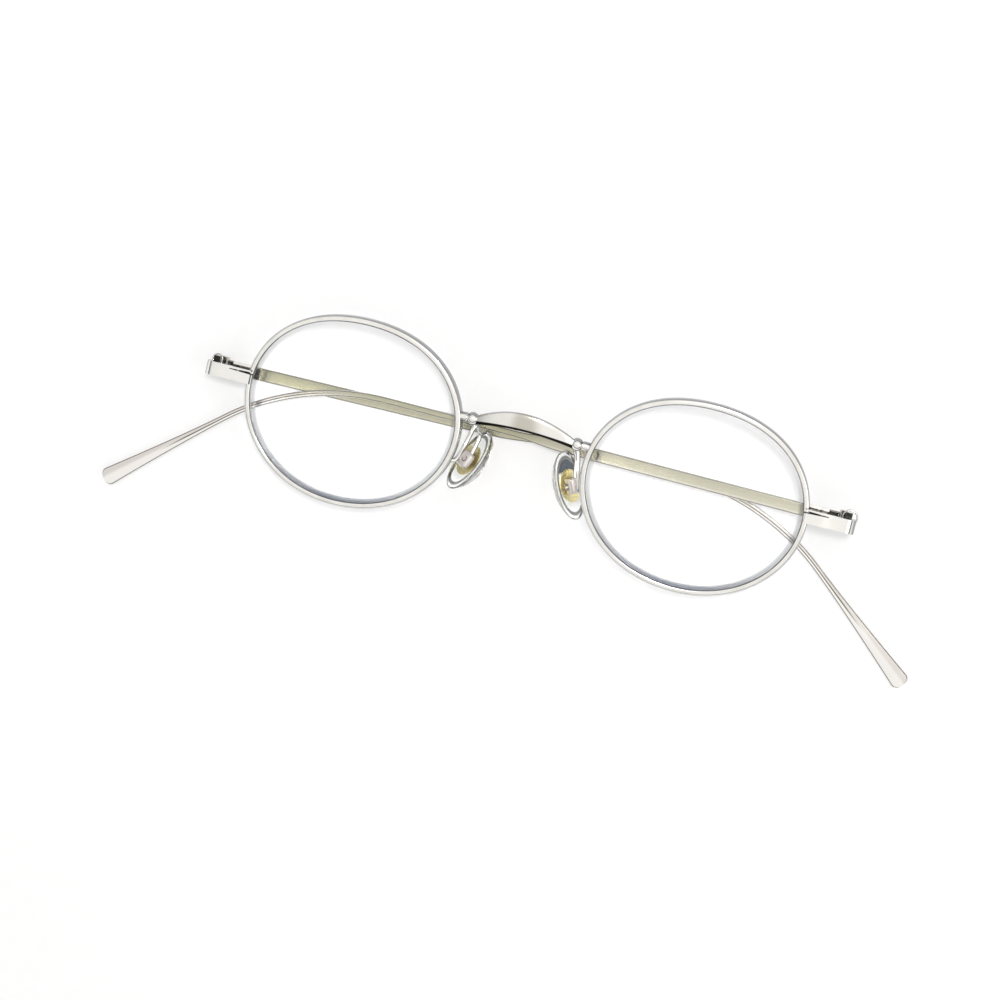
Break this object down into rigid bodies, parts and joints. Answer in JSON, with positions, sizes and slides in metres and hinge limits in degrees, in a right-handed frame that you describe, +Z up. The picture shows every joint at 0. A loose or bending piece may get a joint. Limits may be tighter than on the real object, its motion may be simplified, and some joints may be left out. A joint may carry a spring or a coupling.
{
  "type": "eyeglasses",
  "caption": "Oval metal-rimmed eyeglasses, folded, with an arched flat bridge, adjustable clear nose pads and bent metal temples.",
  "frame": {"origin": "on the table, under the middle of the outline of the folded glasses", "axes": "+X along the front to the wearer's left, +Y to the forehead side, +Z up, out of the front face"},
  "size_m": [0.165, 0.0462, 0.0141],
  "materials": {
    "frame": "polished pale champagne plating",
    "temple": "polished plating, warmer on the inner faces",
    "screw": "turned and plated steel",
    "lens": "clear, polished",
    "pad": "clear soft plastic",
    "core": "gold-coloured stamped plate"
  },
  "bodies": {
    "front": {"rim_left": "frame", "rim_right": "frame", "lens_left": "lens", "lens_right": "lens", "bridge": "frame", "bridge_lug_left": "frame", "bridge_lug_right": "frame", "endpiece_left": "frame", "endpiece_right": "frame", "closing_block_upper_left": "frame", "closing_block_upper_right": "frame", "closing_block_lower_left": "frame", "closing_block_lower_right": "frame", "rim_screw_left": "screw", "rim_screw_right": "screw", "hinge_front_left": "frame", "hinge_front_right": "frame", "hinge_screw_left": "screw", "hinge_screw_right": "screw", "pad_arm_left": "frame", "pad_arm_right": "frame", "pad_box_left": "frame", "pad_box_right": "frame", "pad_screw_left": "screw", "pad_screw_right": "screw"},
    "temple_left_arm": {"temple_left": "temple", "hinge_rear_left": "frame"},
    "temple_right_arm": {"temple_right": "temple", "hinge_rear_right": "frame"},
    "pad_left": {"pad_core_left": "core", "nose_pad_left": "pad"},
    "pad_right": {"pad_core_right": "core", "nose_pad_right": "pad"}
  },
  "joints": [
    {"name": "temple_left_hinge", "type": "hinge", "parent": "front", "child": "temple_left_arm", "pos_m": [0.06329, 0.0066, 0.00582], "axis": [-0.0122, -0.9999, -0.0003], "range_deg": [0, 90.5]},
    {"name": "temple_right_hinge", "type": "hinge", "parent": "front", "child": "temple_right_arm", "pos_m": [-0.06286, 0.0066, 0.0023], "axis": [-0.0061, 1, -0.0002], "range_deg": [0, 88.4]},
    {"name": "pad_left_rock", "type": "hinge", "parent": "front", "child": "pad_left", "pos_m": [0.01106, 0.00057, 0.00643], "axis": [-0.7739, -0.3857, 0.5024], "range_deg": [-8, 8]},
    {"name": "pad_right_rock", "type": "hinge", "parent": "front", "child": "pad_right", "pos_m": [-0.01074, 0.00057, 0.00582], "axis": [-0.7446, 0.3857, -0.5448], "range_deg": [-8, 8]}
  ]
}
